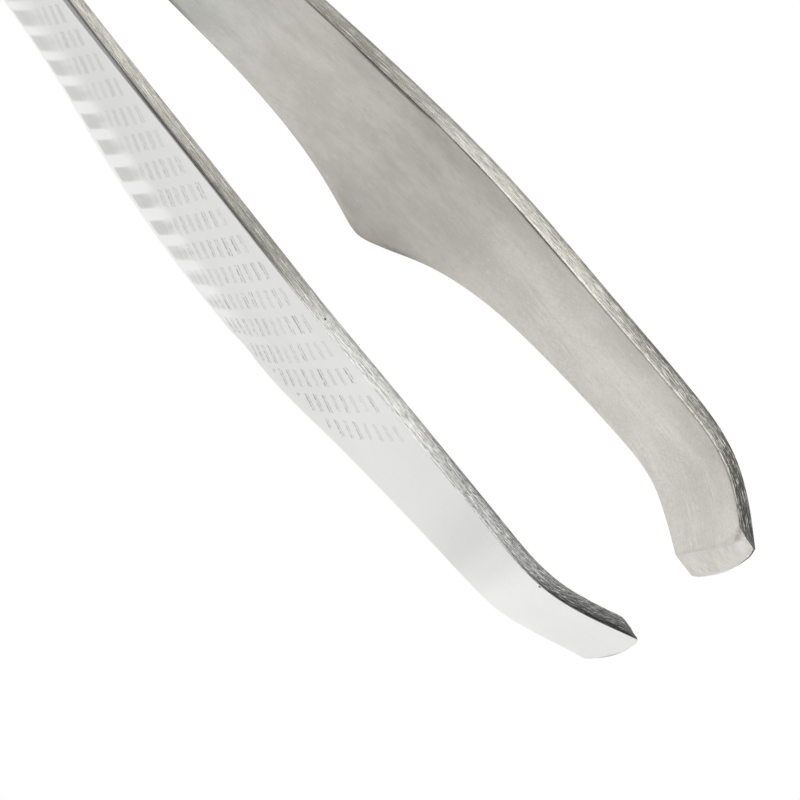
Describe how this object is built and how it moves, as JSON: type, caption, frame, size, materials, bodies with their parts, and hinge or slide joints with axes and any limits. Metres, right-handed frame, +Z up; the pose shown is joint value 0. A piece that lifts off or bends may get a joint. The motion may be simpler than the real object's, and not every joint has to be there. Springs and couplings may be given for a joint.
{
  "type": "slant tweezers",
  "caption": "Slant-tip beauty tweezers: two sprung stainless blades welded at the heel, with bowed, engraved grips and inward-bent slanted tips.",
  "frame": {"origin": "middle of the heel's flat rear end, on the plane where the two blades meet", "axes": "+X along the tweezers from the heel to the slanted tips, +Y the opening direction towards the right blade, +Z up across the width of the blades, towards the longer corner of the slant"},
  "size_m": [0.0955, 0.0148, 0.0097],
  "materials": {
    "blade_steel": "satin, brushed along the length",
    "weld_steel": "ground flush"
  },
  "bodies": {
    "heel": {"left_blade_tang": "blade_steel", "right_blade_tang": "blade_steel", "heel_seam_weld": "weld_steel", "spot_weld_nuggets": "weld_steel"},
    "left_arm": {"left_blade_arm": "blade_steel"},
    "right_arm": {"right_blade_arm": "blade_steel"}
  },
  "joints": [
    {"name": "left_flex", "type": "hinge", "parent": "heel", "child": "left_arm", "pos_m": [0.024, -0.00196, 0], "axis": [0, 0, 1], "range_deg": [0, 3.2], "stiffness_Nm_per_rad": 2.1},
    {"name": "right_flex", "type": "hinge", "parent": "heel", "child": "right_arm", "pos_m": [0.024, 0.00196, 0], "axis": [0, 0, -1], "range_deg": [0, 3.2], "stiffness_Nm_per_rad": 2.1}
  ],
  "couplings": [
    {"joint": "right_flex", "follows": "left_flex", "ratio": 1}
  ]
}
